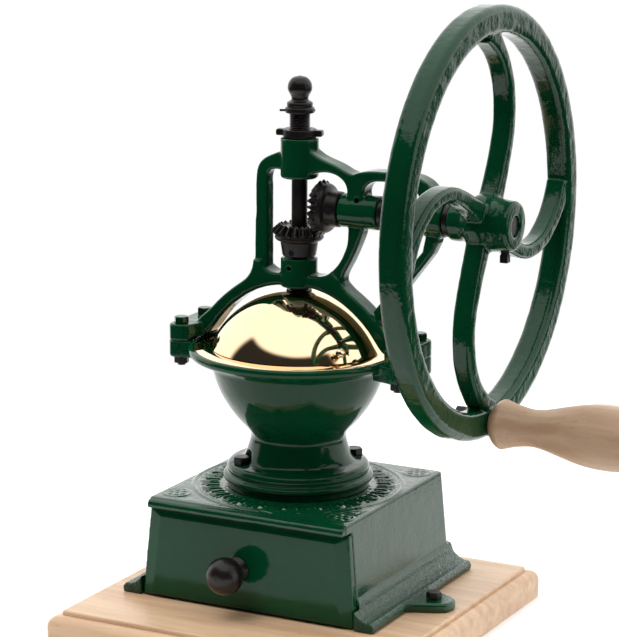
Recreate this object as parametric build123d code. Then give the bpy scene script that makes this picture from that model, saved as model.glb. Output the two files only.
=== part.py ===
from build123d import *
import math
import os

os.makedirs("parts", exist_ok=True)

# ---------------------------------------------------------------- dimensions
# Millimetres. X runs along the crank shaft towards the flywheel, -Y is the
# drawer side, +Z is up. The origin is on the spindle axis, on the table plane.

BOARD_SIDE = 220.0          # square wooden board
BOARD_CX, BOARD_CY = 6.8, -10.6
BOARD_EDGE_Z = 17.2         # top of the rounded border
BOARD_TOP_Z = 20.0          # top of the raised panel
PANEL_SIDE = 206.0

BOX_TOP_Z = 81.2            # cast housing
BOX_TOP_HX, BOX_TOP_Y0, BOX_TOP_Y1 = 64.6, -64.8, 66.6
BOX_BOT_HX, BOX_BOT_Y0, BOX_BOT_Y1 = 70.0, -67.1, 68.4
BOX_PLATE_T = 6.0
BOX_WALL_T = 4.0
BOX_FRONT_Y = -58.0         # front ends of the side walls
FLANGE_HX = 82.8
FLANGE_T = 6.0
EAR_R_X, EAR_R_TIP, EAR_R_Y = 93.0, 105.5, -5.5     # right fixing ear: screw, tip, middle
EAR_L_X, EAR_L_TIP, EAR_L_Y = 86.5, 95.4, 22.0      # left fixing ear, shorter
THROAT_R = 19.5             # opening under the burrs

DRAWER_TRAVEL = 95.0
TRAY_HX, TRAY_Y1, TRAY_TOP_Z = 57.4, 52.0, 64.0
KNOB_X, KNOB_Z, KNOB_R = -5.0, 45.8, 11.0

NECK_BORE_R = 22.0
NECK_SEAT_Z = 93.0          # shoulder that carries the fixed burr
RIM_R, RIM_Z = 65.6, 166.2  # hopper rim
LUG_X, LUG_Y, LUG_R = 72.0, 14.2, 7.3
LUG_Z0, LUG_Z1 = 155.2, 165.2
FOOT_Z1 = 175.3
PED_BOLT = 24.6             # pedestal bolts at (-, -) and (+, +)

SHAFT_Z = 250.6             # crank shaft axis height
SHAFT_R = 6.0
SPINDLE_R = 4.7
RUN = 0.05                  # radial running clearance

GEAR_TEETH = 20
GEAR_PITCH_R = 15.7
GEAR_FACE = 6.6

WHEEL_R, RIM_IN_R = 124.0, 107.5
WHEEL_X0, WHEEL_X1 = 110.2, 125.7
HUB_X0, HUB_X1 = 99.0, 138.0
CRANK_R = 115.7             # handle axis radius on the wheel
GRIP_LEN = 108.0

SCREW_R = 6.2               # adjusting screw
TOP_BOSS_R, TOP_BOSS_Z0, TOP_BOSS_Z1 = 11.4, 267.0, 291.0
LOW_BOSS_R, LOW_BOSS_Z0, LOW_BOSS_Z1 = 11.0, 202.4, 220.0

DOME_R = 58.0               # brass dome sphere radius (outer skin)
DOME_APEX_Z = 200.0
DOME_BASE_Z = 166.6


# ---------------------------------------------------------------- helpers
def cyl(r, z0, z1, x=0.0, y=0.0):
    return Pos(x, y, (z0 + z1) / 2) * Cylinder(r, z1 - z0)


def cylx(r, x0, x1, y=0.0, z=SHAFT_Z):
    return Pos((x0 + x1) / 2, y, z) * Rot(0, 90, 0) * Cylinder(r, x1 - x0)


def cyly(r, y0, y1, x=0.0, z=0.0):
    return Pos(x, (y0 + y1) / 2, z) * Rot(90, 0, 0) * Cylinder(r, y1 - y0)


def block(x0, x1, y0, y1, z0, z1):
    return Pos((x0 + x1) / 2, (y0 + y1) / 2, (z0 + z1) / 2) * Box(x1 - x0, y1 - y0, z1 - z0)


def wire_of(segs):
    """segs: list of point lists; a list of 3 or more marked 's' is a spline."""
    edges = []
    for kind, pts in segs:
        pts = [Vector(*p) for p in pts]
        if kind == "s":
            edges += Spline(*pts).edges()
        else:
            for a, b in zip(pts[:-1], pts[1:]):
                edges.append(Edge.make_line(a, b))
    return Wire(edges)


def lathe(segs):
    """Turn a closed (r, h) outline about Z."""
    s3 = [(k, [(r, 0, h) for r, h in pts]) for k, pts in segs]
    return revolve(Face(wire_of(s3)), Axis.Z, 360)


def lathe_poly(pts):
    return lathe([("l", list(pts) + [pts[0]])])


def along_x(s, x0, y=0.0, z=SHAFT_Z):
    """Put a solid turned about Z onto an axis along +X."""
    return Pos(x0, y, z) * Rot(0, 90, 0) * s


def web(segs, y0, y1):
    """Extrude a closed (x, z) outline between two Y planes."""
    s3 = [(k, [(x, y0, z) for x, z in pts]) for k, pts in segs]
    return extrude(Face(wire_of(s3)), amount=y1 - y0, dir=(0, 1, 0))


def soften(s, edges, r):
    """Round edges; take a smaller radius, then none, where it will not go."""
    for k in (1.0, 0.7, 0.4):
        try:
            t = fillet(edges, r * k)
            if t.is_valid and t.volume > 0:
                return t
        except Exception:
            pass
    print("left sharp", r)
    return s


def on_planes(s, axis, vals, tol=1e-3):
    """Edges that lie wholly on one of the planes axis = value."""
    out = []
    for e in s.edges():
        b = e.bounding_box()
        lo = getattr(b.min, axis)
        hi = getattr(b.max, axis)
        if hi - lo < tol and any(abs(lo - v) < tol for v in vals):
            out.append(e)
    return out


def hex_prism(af, z0, z1, x=0.0, y=0.0, turn=0.0):
    face = RegularPolygon(af / 2, 6, major_radius=False, rotation=turn)
    return Pos(x, y, z0) * extrude(face, amount=z1 - z0)


def hex_bolt(af, shank_r, z_under, head_h, z_tip, x, y, turn=0.0):
    """Hex head above z_under, shank down to z_tip, chamfered head."""
    head = hex_prism(af, z_under, z_under + head_h, x, y, turn)
    cone = lathe_poly([(0, -0.1), (af * 0.62, -0.1), (af * 0.62, head_h - 0.9), (af * 0.47, head_h), (0, head_h)])
    head = head & (Pos(x, y, z_under) * cone)
    shank = cyl(shank_r, z_tip, z_under + 0.5, x, y)
    return head + shank


def save(name, s, label=None):
    if isinstance(s, (list, tuple)):
        c = Compound(children=list(s))
    else:
        c = s
    export_step(c, "parts/" + name + ".step")


def solids_of(s):
    return list(s.solids())


# ---------------------------------------------------------------- base board
bx0, bx1 = BOARD_CX - BOARD_SIDE / 2, BOARD_CX + BOARD_SIDE / 2
by0, by1 = BOARD_CY - BOARD_SIDE / 2, BOARD_CY + BOARD_SIDE / 2
board = block(bx0, bx1, by0, by1, 0, BOARD_EDGE_Z)
board = fillet(board.edges().filter_by(Axis.Z), 3.0)
board = fillet(on_planes(board, "Z", [BOARD_EDGE_Z]), 6.0)
board = fillet(on_planes(board, "Z", [0.0]), 1.5)
ph = PANEL_SIDE / 2
panel = block(BOARD_CX - ph, BOARD_CX + ph, BOARD_CY - ph, BOARD_CY + ph, BOARD_EDGE_Z - 2, BOARD_TOP_Z)
panel = fillet(panel.edges().filter_by(Axis.Z), 1.5)
panel = fillet(on_planes(panel, "Z", [BOARD_TOP_Z]), 1.2)
board = board + panel
for ex, ey in ((EAR_R_X, EAR_R_Y), (-EAR_L_X, EAR_L_Y)):
    board = board - cyl(2.5, 7.0, BOARD_TOP_Z + 1, ex, ey)
save("base_board", board)

# ---------------------------------------------------------------- cast housing


def frustum(hx0, ya0, yb0, z0, hx1, ya1, yb1, z1):
    a = Pos(0, (ya0 + yb0) / 2, z0) * Rectangle(2 * hx0, yb0 - ya0)
    b = Pos(0, (ya1 + yb1) / 2, z1) * Rectangle(2 * hx1, yb1 - ya1)
    return loft([a.faces()[0], b.faces()[0]], ruled=True)


box = frustum(BOX_BOT_HX, BOX_BOT_Y0, BOX_BOT_Y1, BOARD_TOP_Z, BOX_TOP_HX, BOX_TOP_Y0, BOX_TOP_Y1, BOX_TOP_Z)
vert = [e for e in box.edges() if abs(e.center().Z - (BOARD_TOP_Z + BOX_TOP_Z) / 2) < 1 and e.center().Y > 0]
box = fillet(vert, 3.0)
# front lip: a half-round moulding along the top front edge
bead = cylx(3.3, -64.4, 64.4, y=-65.9, z=77.1)
box = box + bead
# flanges with a cove against the side walls
for sgn in (1, -1):
    prof = [
        (sgn * 60.0, BOARD_TOP_Z), (sgn * FLANGE_HX, BOARD_TOP_Z), (sgn * (FLANGE_HX + 0.4), BOARD_TOP_Z + 3.4),
        (sgn * (FLANGE_HX - 1.6), BOARD_TOP_Z + FLANGE_T), (sgn * (FLANGE_HX - 4.4), BOARD_TOP_Z + FLANGE_T - 0.2),
        (sgn * 74.6, BOARD_TOP_Z + 7.4), (sgn * 71.0, BOARD_TOP_Z + 10.4), (sgn * 69.2, BOARD_TOP_Z + 15.5),
        (sgn * 60.0, BOARD_TOP_Z + 18.0),
    ]
    fl = web([("l", prof + [prof[0]])], -66.7, 71.1)
    box = box + fl
    ex, tip, ey = (EAR_R_X, EAR_R_TIP, EAR_R_Y) if sgn > 0 else (EAR_L_X, EAR_L_TIP, EAR_L_Y)
    n = 14
    pts = []
    # a tab that swells out of the flange edge and back in one smooth line
    for i in range(2 * n + 1):
        t = -1.0 + i / n
        yy = ey + t * 29.0
        xx = FLANGE_HX - 2.0 + (tip - FLANGE_HX + 2.0) * math.exp(-(t / 0.47) ** 4) * (1 - 0.10 * abs(t))
        pts.append((sgn * xx, yy, BOARD_TOP_Z))
    edge = Spline(*[Vector(*p) for p in pts])
    base = Polyline(pts[-1], (sgn * 76.0, pts[-1][1], BOARD_TOP_Z), (sgn * 76.0, pts[0][1], BOARD_TOP_Z), pts[0])
    ear = extrude(Face(Wire(edge.edges() + base.edges())), amount=5.6, dir=(0, 0, 1))
    ear = soften(ear, on_planes(ear, "Z", [BOARD_TOP_Z + 5.6]), 1.6)
    box = box + ear
    box = box - cyl(3.1, BOARD_TOP_Z - 1, BOARD_TOP_Z + 12, sgn * ex, ey)
# raised round platform and ring mouldings on the top plate
box = box + cyl(47.0, BOX_TOP_Z - 2, BOX_TOP_Z + 0.8)
for rr, rh in ((62.4, 1.1), (59.4, 0.8)):
    ring = Pos(0, 0, BOX_TOP_Z) * Torus(rr, rh)
    box = box + ring
# hollow for the drawer, throat, bolt holes
cav = block(-59.0, 59.0, -90, 60.6, BOARD_TOP_Z - 1, BOX_TOP_Z - BOX_PLATE_T)
box = box - cav
front_cut = block(-90, 90, -90, BOX_FRONT_Y, BOARD_TOP_Z - 1, BOX_TOP_Z - BOX_PLATE_T)
front_keep = block(-90, -70.4, -90, BOX_FRONT_Y, BOARD_TOP_Z - 1, BOX_TOP_Z - BOX_PLATE_T) + \
    block(70.4, 90, -90, BOX_FRONT_Y, BOARD_TOP_Z - 1, BOX_TOP_Z - BOX_PLATE_T)
box = box - (front_cut - front_keep)
box = box - cyl(THROAT_R, BOX_TOP_Z - 12, BOX_TOP_Z + 3)
for s in (-1, 1):
    box = box - cyl(3.0, BOX_TOP_Z - 12, BOX_TOP_Z + 3, s * PED_BOLT, s * PED_BOLT)
box = max(solids_of(box), key=lambda q: q.volume)
save("base_housing", box)

screws = [hex_bolt(8.0, 2.45, BOARD_TOP_Z + 5.65, 4.2, 8.0, EAR_R_X, EAR_R_Y, 20),
          hex_bolt(8.0, 2.45, BOARD_TOP_Z + 5.65, 4.2, 8.0, -EAR_L_X, EAR_L_Y, 5)]
save("board_screws", screws)

# ---------------------------------------------------------------- drawer
zt = 74.6
zb = BOARD_TOP_Z + 0.5


def yf(z):
    """Front face of the drawer front leans with the housing."""
    t = (z - BOARD_TOP_Z) / (BOX_TOP_Z - BOARD_TOP_Z)
    return BOX_BOT_Y0 + (BOX_TOP_Y0 - BOX_BOT_Y0) * t


def hx(z):
    t = (z - BOARD_TOP_Z) / (BOX_TOP_Z - BOARD_TOP_Z)
    return BOX_BOT_HX + (BOX_TOP_HX - BOX_BOT_HX) * t


def quad(x0, x1, z0, z1, y0, y1, dx0=0.0, dx1=0.0):
    pts = [(x0 - dx0, y0, z0), (x1 + dx0, y0, z0), (x1 + dx1, y1, z1), (x0 - dx1, y1, z1)]
    return Face(Wire.make_polygon([Vector(*p) for p in pts], close=True))


BEV = 8.0
bev_d = 2.2
back = quad(-hx(zb), hx(zb), zb, zt, -58.6, -58.6, 0, hx(zt) - hx(zb))
mid = quad(-hx(zb), hx(zb), zb, zt, yf(zb) + bev_d, yf(zt) + bev_d, 0, hx(zt) - hx(zb))
field = quad(-hx(zb) + BEV, hx(zb) - BEV, zb + 2.5, zt - 4.0, yf(zb), yf(zt), 0, hx(zt) - hx(zb))
front_plate = loft([back, mid], ruled=True) + loft([mid, field], ruled=True)
front_plate = front_plate - cyly(2.6, -80, -50, KNOB_X, KNOB_Z)
for s in (-1, 1):
    front_plate = front_plate - cyly(1.65, -64.5, -50, s * 40.0, 33.0) - cyly(1.65, -64.5, -50, s * 40.0, 56.0)
save("drawer_front", front_plate)

tray = block(-TRAY_HX, TRAY_HX, -58.5, TRAY_Y1, BOARD_TOP_Z + 0.6, TRAY_TOP_Z)
tray = fillet(tray.edges().filter_by(Axis.Z), 2.0)
tray = tray - block(-TRAY_HX + 3.0, TRAY_HX - 3.0, -54.5, TRAY_Y1 - 3.0, BOARD_TOP_Z + 3.6, TRAY_TOP_Z + 5)
tray = tray - cyly(4.6, -60, -50, KNOB_X, KNOB_Z)
for s in (-1, 1):
    for zz in (33.0, 56.0):
        tray = tray - cyly(1.9, -60, -50, s * 40.0, zz)
save("drawer_tray", tray)

tray_screws = []
for s in (-1, 1):
    for zz in (33.0, 56.0):
        sh = cyly(1.6, -63.8, -54.0, s * 40.0, zz)
        hd = cyly(3.2, -54.45, -52.4, s * 40.0, zz)
        tray_screws.append((sh + hd) - block(s * 40 - 4, s * 40 + 4, -53.2, -51, zz - 0.45, zz + 0.45))
save("tray_screws", tray_screws)

# knob turned about -Y: h is the distance out from the drawer face
yk = yf(KNOB_Z)
knob = lathe([
    ("l", [(2.1, 0.36), (7.4, 0.36), (7.4, 1.2)]),
    ("s", [(7.4, 1.2), (6.2, 2.6), (4.9, 4.6), (4.9, 6.6), (6.4, 8.4)]),
    ("s", [(6.4, 8.4), (9.6, 10.6), (10.95, 14.4), (10.6, 18.6), (8.2, 23.0), (4.4, 25.6), (0.0, 26.4)]),
    ("l", [(0.0, 26.4), (0.0, 12.0), (2.1, 12.0), (2.1, 0.36)]),
])
knob = Pos(KNOB_X, yk, KNOB_Z) * Rot(90, 0, 0) * knob
save("drawer_knob", knob)
kscrew = cyly(2.05, yk - 11.8, -57.5, KNOB_X, KNOB_Z) + cyly(4.2, -58.45, -55.8, KNOB_X, KNOB_Z)
kscrew = kscrew - block(KNOB_X - 5, KNOB_X + 5, -57.0, -54, KNOB_Z - 0.5, KNOB_Z + 0.5)
save("knob_screw", kscrew)

# ---------------------------------------------------------------- hopper
PZ = BOX_TOP_Z + 0.8
outer = [
    ("l", [(THROAT_R, PZ), (42.6, PZ), (42.6, 84.4)]),
    ("s", [(42.6, 84.4), (42.9, 85.6), (44.0, 86.2)]),
    ("s", [(44.0, 86.2), (45.0, 87.6), (44.6, 89.2), (43.2, 90.0)]),
    ("l", [(43.2, 90.0), (42.2, 90.2), (42.2, 91.2)]),
    ("s", [(42.2, 91.2), (42.6, 93.6), (41.8, 95.6), (39.8, 96.8)]),
    ("l", [(39.8, 96.8), (34.0, 97.6)]),
    ("s", [(34.0, 97.6), (32.4, 99.6), (30.6, 104.0), (29.0, 109.2), (28.6, 113.0), (30.0, 116.0),
           (34.6, 121.2), (40.0, 127.8), (44.4, 134.6), (47.6, 141.0), (50.0, 148.0), (51.4, 153.0)]),
    ("s", [(51.4, 153.0), (52.0, 155.4), (53.8, 157.4), (57.0, 158.6)]),
    ("l", [(57.0, 158.6), (62.6, 160.2)]),
    ("s", [(62.6, 160.2), (64.9, 161.6), (65.6, 163.6), (65.2, 165.4), (64.0, RIM_Z)]),
    ("l", [(64.0, RIM_Z), (62.8, RIM_Z), (62.8, 165.0), (50.6, 165.0), (50.6, 162.0)]),
    ("s", [(50.6, 162.0), (48.4, 158.6), (46.8, 154.0), (44.6, 146.4), (41.6, 139.0), (37.0, 131.0), (30.6, 122.4),
           (25.6, 116.6), (22.6, 113.4)]),
    ("l", [(22.6, 113.4), (NECK_BORE_R, 112.6), (NECK_BORE_R, NECK_SEAT_Z), (THROAT_R, NECK_SEAT_Z), (THROAT_R, PZ)]),
]
bowl = lathe(outer)
for sgn in (1, -1):
    a = Pos(sgn * LUG_X, -LUG_Y) * Circle(LUG_R)
    b = Pos(sgn * LUG_X, LUG_Y) * Circle(LUG_R)
    xi = sgn * 57.0
    pl = make_face(Polyline((xi, -17.0), (sgn * LUG_X, -LUG_Y - LUG_R), (sgn * (LUG_X + LUG_R), -LUG_Y),
                            (sgn * (LUG_X + LUG_R), LUG_Y), (sgn * LUG_X, LUG_Y + LUG_R), (xi, 17.0), close=True))
    plan = a + b + pl
    lug = Pos(0, 0, LUG_Z0) * extrude(plan, amount=LUG_Z1 - LUG_Z0)
    lug = lug - cyl(54.0, LUG_Z0 - 5, LUG_Z1 + 5)
    bowl = bowl + lug
    for s in (-1, 1):
        bowl = bowl - cyl(2.6, LUG_Z0 - 1, LUG_Z1 + 1, sgn * LUG_X, s * LUG_Y)
bowl = bowl - cyl(49.0, 160.0, 172.0) - cyl(62.8, 165.0, 172.0)
# spot faces and holes for the two pedestal bolts
for s in (-1, 1):
    px, py = s * PED_BOLT, s * PED_BOLT
    bowl = bowl - cyl(6.6, 96.4, 104.0, px, py) - cyl(3.05, 78.0, 98.0, px, py)
bowl = max(solids_of(bowl), key=lambda q: q.volume)
save("hopper_bowl", bowl)

ped_bolts = [hex_bolt(9.5, 2.95, 96.45, 4.6, 76.5, s * PED_BOLT, s * PED_BOLT, 12 * s) for s in (-1, 1)]
save("pedestal_bolts", ped_bolts)

# ---------------------------------------------------------------- burrs
ring = lathe_poly([(20.6, 111.4), (NECK_BORE_R - 0.05, 111.4), (NECK_BORE_R - 0.05, NECK_SEAT_Z + 0.02), (13.5, NECK_SEAT_Z + 0.02), (18.6, 106.0)])
for i in range(16):
    g = Rot(0, 0, i * 22.5) * (Pos(16.1, 0, 100.0) * Rot(28, 21.4, 0) * Rot(0, 0, 45) * Box(1.7, 1.7, 15.5))
    ring = ring - g
save("fixed_burr", ring)

rotor = lathe_poly([(SPINDLE_R + 0.02, 93.6), (13.1, 93.6), (18.0, 106.0), (12.4, 112.4), (8.4, 114.4), (SPINDLE_R + 0.02, 114.4)])
for i in range(14):
    g = Rot(0, 0, i * 360 / 14) * (Pos(15.7, 0, 100.0) * Rot(-28, 21.4, 0) * Rot(0, 0, 45) * Box(1.9, 1.9, 16.5))
    rotor = rotor - g
rotor = rotor - cylx(1.27, -20, 20, 0, 112.2)
rotor = max(solids_of(rotor), key=lambda q: q.volume)
save("runner_burr", rotor)
save("burr_nut", hex_prism(14.0, 86.6, 93.34) - cyl(4.02, 80, 99))

# ---------------------------------------------------------------- spindle
spindle = cyl(SPINDLE_R, 93.4, 274.0)
spindle = chamfer(on_planes(spindle, "Z", [274.0]), 0.6) + cyl(4.0, 84.0, 94.0)
spindle = spindle - cylx(1.27, -20, 20, 0, 112.2) - cyly(1.52, -20, 20, 0, 223.9)
save("spindle", spindle)
save("burr_pin", cylx(1.25, -7.6, 7.6, 0, 112.2))


# ---------------------------------------------------------------- bevel gears
def bevel_gear(teeth, rp, face, hub_r0, hub_r1, hub_end, bore, turn):
    """1:1 bevel gear on +Z with its pitch apex at the origin, teeth facing
    the apex, body hanging below it; hub_end is the depth of the hub's end."""
    rt2 = math.sqrt(2.0)
    L1 = rp * rt2                     # outer cone distance
    L0 = L1 - face                    # inner cone distance
    m = 2 * rp / teeth
    add, ded = 0.92 * m, 1.55 * m
    thick = math.pi * m / 2 - 0.46    # tooth thickness at the pitch line
    rk = ded                          # root drop at the outer end

    def pt(L, h):
        # cone distance L along the 45 degree pitch line, h outward normal
        r = L / rt2 + h / rt2
        z = -L / rt2 + h / rt2
        return r, z

    ro, zo = pt(L1, -rk)
    ri, zi = pt(L0, -rk * L0 / L1)
    body = lathe_poly([
        (bore, zi + 0.0), (ri, zi), (ro, zo), (ro + 0.6, zo - 1.2), (ro - 0.4, zo - 2.6), (hub_r0, zo - 3.6),
        (hub_r1, -hub_end + 0.8), (hub_r1 - 0.8, -hub_end), (bore, -hub_end),
    ])
    tn = math.tan(math.radians(20))
    teeth_s = []

    def section(L, over):
        k = L / L1
        hb = -(rk + over) * k
        ht = add * k
        wb = (thick / 2 + (rk + over) * tn) * k
        wt = (thick / 2 - add * tn) * k
        out = []
        for t, h in ((-wb, hb), (wb, hb), (wt, ht), (-wt, ht)):
            r, z = pt(L, h)
            out.append(Vector(r, t, z))
        return Face(Wire.make_polygon(out, close=True))

    tooth = loft([section(L0, 0.5), section(L1, 0.5)], ruled=True)
    g = body
    allt = [Rot(0, 0, turn + i * 360 / teeth) * tooth for i in range(teeth)]
    g = g + allt
    return g


g_driven = bevel_gear(GEAR_TEETH, GEAR_PITCH_R, GEAR_FACE, 11.2, 10.0, 29.9, SPINDLE_R + 0.02, 0)
g_driven = Pos(0, 0, SHAFT_Z) * g_driven
g_driven = g_driven - cyly(1.52, -20, 20, 0, 223.9)
save("driven_bevel_gear", g_driven)

g_drive = bevel_gear(GEAR_TEETH, GEAR_PITCH_R, GEAR_FACE, 10.8, 10.4, 28.2, SHAFT_R + 0.02, 180.0 / GEAR_TEETH)
# the drive gear's apex is the same point; its body lies towards +X
g_drive = Pos(0, 0, SHAFT_Z) * Rot(0, -90, 0) * g_drive
g_drive = g_drive - cyly(1.52, -20, 20, 24.2, SHAFT_Z)
save("drive_bevel_gear", g_drive)
save("driven_gear_pin", cyly(1.5, -9.6, 9.6, 0, 223.9))
save("drive_gear_pin", cyly(1.5, -10.0, 10.0, 24.2, SHAFT_Z))

# ---------------------------------------------------------------- crank shaft
shaft = cylx(SHAFT_R, 12.0, 136.6)
shaft = chamfer(on_planes(shaft, "X", [12.0, 136.6]), 0.7)
shaft = shaft - cyly(1.52, -20, 20, 24.2, SHAFT_Z)
shaft = shaft - Pos(131.3, 0, SHAFT_Z - 5.0) * Box(7, 8, 2.2)
save("crank_shaft", shaft)


def collar(x0, x1, r):
    w = x1 - x0
    ri = SHAFT_R + 0.02
    c = along_x(lathe_poly([(ri, 0), (r - 0.5, 0), (r, 0.5), (r, w - 0.5), (r - 0.5, w), (ri, w)]), x0)
    return c - cyl(1.02, SHAFT_Z + 3, SHAFT_Z + 20, (x0 + x1) / 2, 0)


save("inner_collar", collar(53.9, 58.4, 9.4))
save("outer_collar", collar(95.2, 98.8, 9.8))
save("collar_screws", [cyl(1.0, SHAFT_Z + SHAFT_R + 0.02, SHAFT_Z + 9.3, 56.15, 0),
                       cyl(1.0, SHAFT_Z + SHAFT_R + 0.02, SHAFT_Z + 9.7, 97.0, 0)])

# ---------------------------------------------------------------- flywheel
rimp = Pos(0, 0, 0) * (Rectangle(WHEEL_R - RIM_IN_R, WHEEL_X1 - WHEEL_X0))
rimp = fillet(rimp.vertices(), 4.2)
rimf = (Plane.XZ * (Pos((WHEEL_R + RIM_IN_R) / 2, (WHEEL_X0 + WHEEL_X1) / 2) * rimp)).faces()[0]
wheel_rim = revolve(rimf, Axis.Z, 360)
hub = lathe([
    ("l", [(SHAFT_R + 0.02, HUB_X0), (11.2, HUB_X0), (11.6, HUB_X0 + 0.6), (11.8, 106.0)]),
    ("s", [(11.8, 106.0), (12.6, 109.0), (15.2, 112.0), (16.8, 115.0), (16.8, 121.0), (15.8, 125.0)]),
    ("l", [(15.8, 125.0), (14.4, 136.8), (13.2, HUB_X1), (SHAFT_R + 0.02, HUB_X1), (SHAFT_R + 0.02, HUB_X0)]),
])

# spoke centre line in polar form: (radius, angle from straight up towards +Y)
SPOKE = [(7.0, 34.0), (14.0, 33.4), (25.0, 31.4), (37.0, 29.3), (50.0, 27.4), (60.0, 25.0), (70.0, 21.2), (81.0, 16.4),
         (90.0, 11.2), (97.0, 6.6), (104.0, 1.4), (110.0, -3.4)]
HALF = [6.6, 6.2, 5.4, 4.9, 4.6, 4.5, 4.5, 4.5, 4.6, 4.9, 5.8, 7.2]


def spoke_pts():
    c = [(r * math.sin(math.radians(a)), r * math.cos(math.radians(a))) for r, a in SPOKE]
    lft, rgt = [], []
    for i in range(len(c)):
        a = c[max(i - 1, 0)]
        b = c[min(i + 1, len(c) - 1)]
        dx, dy = b[0] - a[0], b[1] - a[1]
        n = math.hypot(dx, dy)
        nx, ny = -dy / n, dx / n
        lft.append((c[i][0] + nx * HALF[i], c[i][1] + ny * HALF[i]))
        rgt.append((c[i][0] - nx * HALF[i], c[i][1] - ny * HALF[i]))
    return lft, rgt


lft, rgt = spoke_pts()
SX0, SX1 = 112.0, 124.2
w = Wire(Spline(*[Vector(SX0, p[0], p[1]) for p in lft]).edges()
         + [Edge.make_line(Vector(SX0, *lft[-1]), Vector(SX0, *rgt[-1]))]
         + Spline(*[Vector(SX0, p[0], p[1]) for p in reversed(rgt)]).edges()
         + [Edge.make_line(Vector(SX0, *rgt[0]), Vector(SX0, *lft[0]))])
spoke = extrude(Face(w), amount=SX1 - SX0, dir=(1, 0, 0))
long_edges = [e for e in on_planes(spoke, "X", [SX0, SX1]) if e.length > 60]
spoke = soften(spoke, long_edges, 2.6)
spoke = spoke - cylx(SHAFT_R + 1.5, 100, 140, 0, 0)

wheel = along_x(wheel_rim + hub, 0, 0, 0)
for k in range(4):
    wheel = wheel + (Rot(90 * k, 0, 0) * spoke)
# boss and bore for the handle stud
wheel = wheel + cylx(8.2, 109.4, WHEEL_X1, 0, -CRANK_R)
wheel = wheel - cylx(4.02, 100, 140, 0, -CRANK_R)
wheel = Pos(0, 0, SHAFT_Z) * wheel
wheel = wheel - cyl(2.52, 225, SHAFT_Z - 2, 131.3, 0)
wheel = wheel - cylx(SHAFT_R + 0.02, 90, 140)
wheel = max(solids_of(wheel), key=lambda q: q.volume)
save("flywheel", wheel)
sets = cyl(2.5, 232.6, SHAFT_Z - 5.0 + 1.0, 131.3, 0) + (Pos(131.3, 0, 231.6) * Box(4.6, 4.6, 4.6))
save("hub_set_screw", sets)

# ---------------------------------------------------------------- handle
HZ = SHAFT_Z - CRANK_R
HX0 = WHEEL_X1 + 0.6
grip = lathe([
    ("l", [(4.05, 0.0), (9.4, 0.0)]),
    ("s", [(9.4, 0.0), (12.2, 2.6), (14.2, 5.4), (14.5, 7.0), (13.9, 8.8)]),
    ("s", [(13.9, 8.8), (12.2, 15.0), (11.0, 22.0), (10.9, 27.5), (12.0, 34.0), (14.6, 44.0), (17.2, 55.0), (18.5, 66.0),
           (18.4, 77.0), (16.8, 89.0), (13.8, 99.0), (11.0, 104.6), (8.6, GRIP_LEN)]),
    ("l", [(8.6, GRIP_LEN), (7.6, GRIP_LEN), (7.6, GRIP_LEN - 6.0), (4.05, GRIP_LEN - 6.0), (4.05, 0.0)]),
])
grip = Pos(HX0, 0, HZ) * Rot(0, 90, 0) * grip
save("crank_handle", grip)
hx_end = HX0 + GRIP_LEN - 6.0
stud = cylx(4.0, 101.6, hx_end + 1.2, 0, HZ) + cylx(7.0, hx_end + 0.4, hx_end + 3.4, 0, HZ)
stud = stud - block(hx_end + 2.0, hx_end + 5, -8, 8, HZ - 0.6, HZ + 0.6)
save("handle_stud", stud)
nut = Pos(103.3, 0, HZ) * Rot(0, 90, 0) * (hex_prism(13.0, 0, 6.0) - cyl(4.02, -1, 8))
save("stud_nut", nut)
wash = cylx(6.4, HX0 - 0.55, HX0 - 0.05, 0, HZ) - cylx(4.02, HX0 - 2, HX0 + 2, 0, HZ)
save("handle_washer", wash)

# ---------------------------------------------------------------- bridge frame
# symmetric lower arch: foot, leg, cross bar, leg, foot
leg = [(-66.4, FOOT_Z1), (-62.4, 179.4), (-57.8, 183.5), (-51.8, 189.6), (-44.7, 196.0), (-37.5, 201.4), (-32.4, 205.4),
       (-29.4, 210.0), (-27.8, 217.0)]
low = [(-58.4, 168.6), (-54.6, 172.8), (-51.0, 177.8), (-47.3, 182.3), (-41.4, 188.2), (-34.9, 193.2), (-28.4, 197.2),
       (-22.0, 200.1), (-15.5, 202.0), (-8.0, 203.2), (0.0, 203.4)]


def mir(pts):
    return [(-x, z) for x, z in reversed(pts)]


segs = [
    ("l", [(-66.4, 167.3), (-66.4, FOOT_Z1)]),
    ("s", leg),
    ("l", [(-27.8, 217.0), (-22.4, 217.0)]),
    ("s", [(-22.4, 217.0), (-19.9, 213.2), (-16.2, 210.9), (-11.0, 210.4)]),
    ("l", [(-11.0, 210.4), (11.0, 210.4)]),
    ("s", [(11.0, 210.4), (17.0, 210.8), (21.0, 212.2), (24.0, 214.6)]),
    ("l", [(24.0, 214.6), (29.4, 210.0)]),
    ("s", mir(leg)[1:]),
    ("l", [(66.4, FOOT_Z1), (66.4, 167.3), (58.4, 168.6)]),
    ("s", mir(low)[::1][::-1][::-1]),
    ("s", low[::-1]),
    ("l", [(-58.4, 168.6), (-66.4, 167.3)]),
]
# order the lower edge from right to left
segs[9] = ("s", [(-x, z) for x, z in low])
segs[10] = ("s", low[::-1])
arch = web(segs, -7.5, 7.5)
arch = soften(arch, on_planes(arch, "Y", [-7.5, 7.5]), 2.2)

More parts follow.
